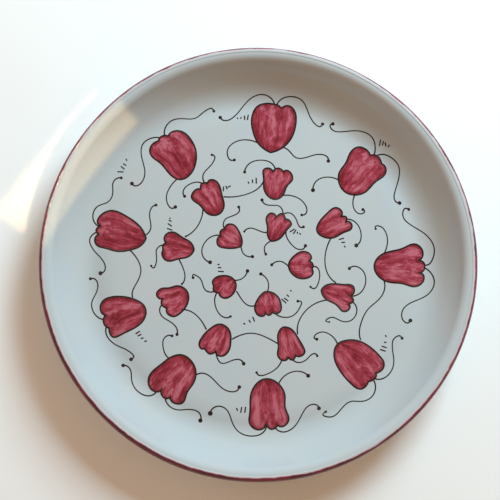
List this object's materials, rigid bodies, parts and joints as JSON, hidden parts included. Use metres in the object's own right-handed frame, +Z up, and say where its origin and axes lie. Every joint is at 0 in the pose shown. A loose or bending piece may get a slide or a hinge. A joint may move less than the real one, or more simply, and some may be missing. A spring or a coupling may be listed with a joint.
{
  "type": "hand painted ceramic plate",
  "caption": "Round coupe serving plate in glazed earthenware with a foot ring, painted with rings of crimson tulips, black tendrils and dashes, and a burgundy lip band.",
  "frame": {"origin": "centre of the plate on the table plane, under the foot ring", "axes": "+Z up along the plate's axis; +Y towards the tulip painted at the top of the outer ring; +X to its right"},
  "size_m": [0.3202, 0.3202, 0.0356],
  "materials": {
    "fired_clay": "matte biscuit",
    "white_glaze": "glossy, slightly mottled",
    "burgundy_band": "glossy, brush-painted",
    "crimson_paint": "glossy, streaky translucent brush strokes",
    "black_ink": "glossy, brush-painted"
  },
  "bodies": {
    "root": {"clay_body": "fired_clay", "dash_marks": "black_ink", "glaze_face": "white_glaze", "glaze_underside": "white_glaze", "inner_tulip_1_ink": "black_ink", "inner_tulip_1_petals": "crimson_paint", "inner_tulip_2_ink": "black_ink", "inner_tulip_2_petals": "crimson_paint", "inner_tulip_3_ink": "black_ink", "inner_tulip_3_petals": "crimson_paint", "inner_tulip_4_ink": "black_ink", "inner_tulip_4_petals": "crimson_paint", "inner_tulip_5_ink": "black_ink", "inner_tulip_5_petals": "crimson_paint", "middle_tulip_1_ink": "black_ink", "middle_tulip_1_petals": "crimson_paint", "middle_tulip_2_ink": "black_ink", "middle_tulip_2_petals": "crimson_paint", "middle_tulip_3_ink": "black_ink", "middle_tulip_3_petals": "crimson_paint", "middle_tulip_4_ink": "black_ink", "middle_tulip_4_petals": "crimson_paint", "middle_tulip_5_ink": "black_ink", "middle_tulip_5_petals": "crimson_paint", "middle_tulip_6_ink": "black_ink", "middle_tulip_6_petals": "crimson_paint", "middle_tulip_7_ink": "black_ink", "middle_tulip_7_petals": "crimson_paint", "middle_tulip_8_ink": "black_ink", "middle_tulip_8_petals": "crimson_paint", "outer_tulip_1_ink": "black_ink", "outer_tulip_1_petals": "crimson_paint", "outer_tulip_2_ink": "black_ink", "outer_tulip_2_petals": "crimson_paint", "outer_tulip_3_ink": "black_ink", "outer_tulip_3_petals": "crimson_paint", "outer_tulip_4_ink": "black_ink", "outer_tulip_4_petals": "crimson_paint", "outer_tulip_5_ink": "black_ink", "outer_tulip_5_petals": "crimson_paint", "outer_tulip_6_ink": "black_ink", "outer_tulip_6_petals": "crimson_paint", "outer_tulip_7_ink": "black_ink", "outer_tulip_7_petals": "crimson_paint", "outer_tulip_8_ink": "black_ink", "outer_tulip_8_petals": "crimson_paint", "outer_tulip_9_ink": "black_ink", "outer_tulip_9_petals": "crimson_paint", "rim_band": "burgundy_band"}
  },
  "joints": []
}
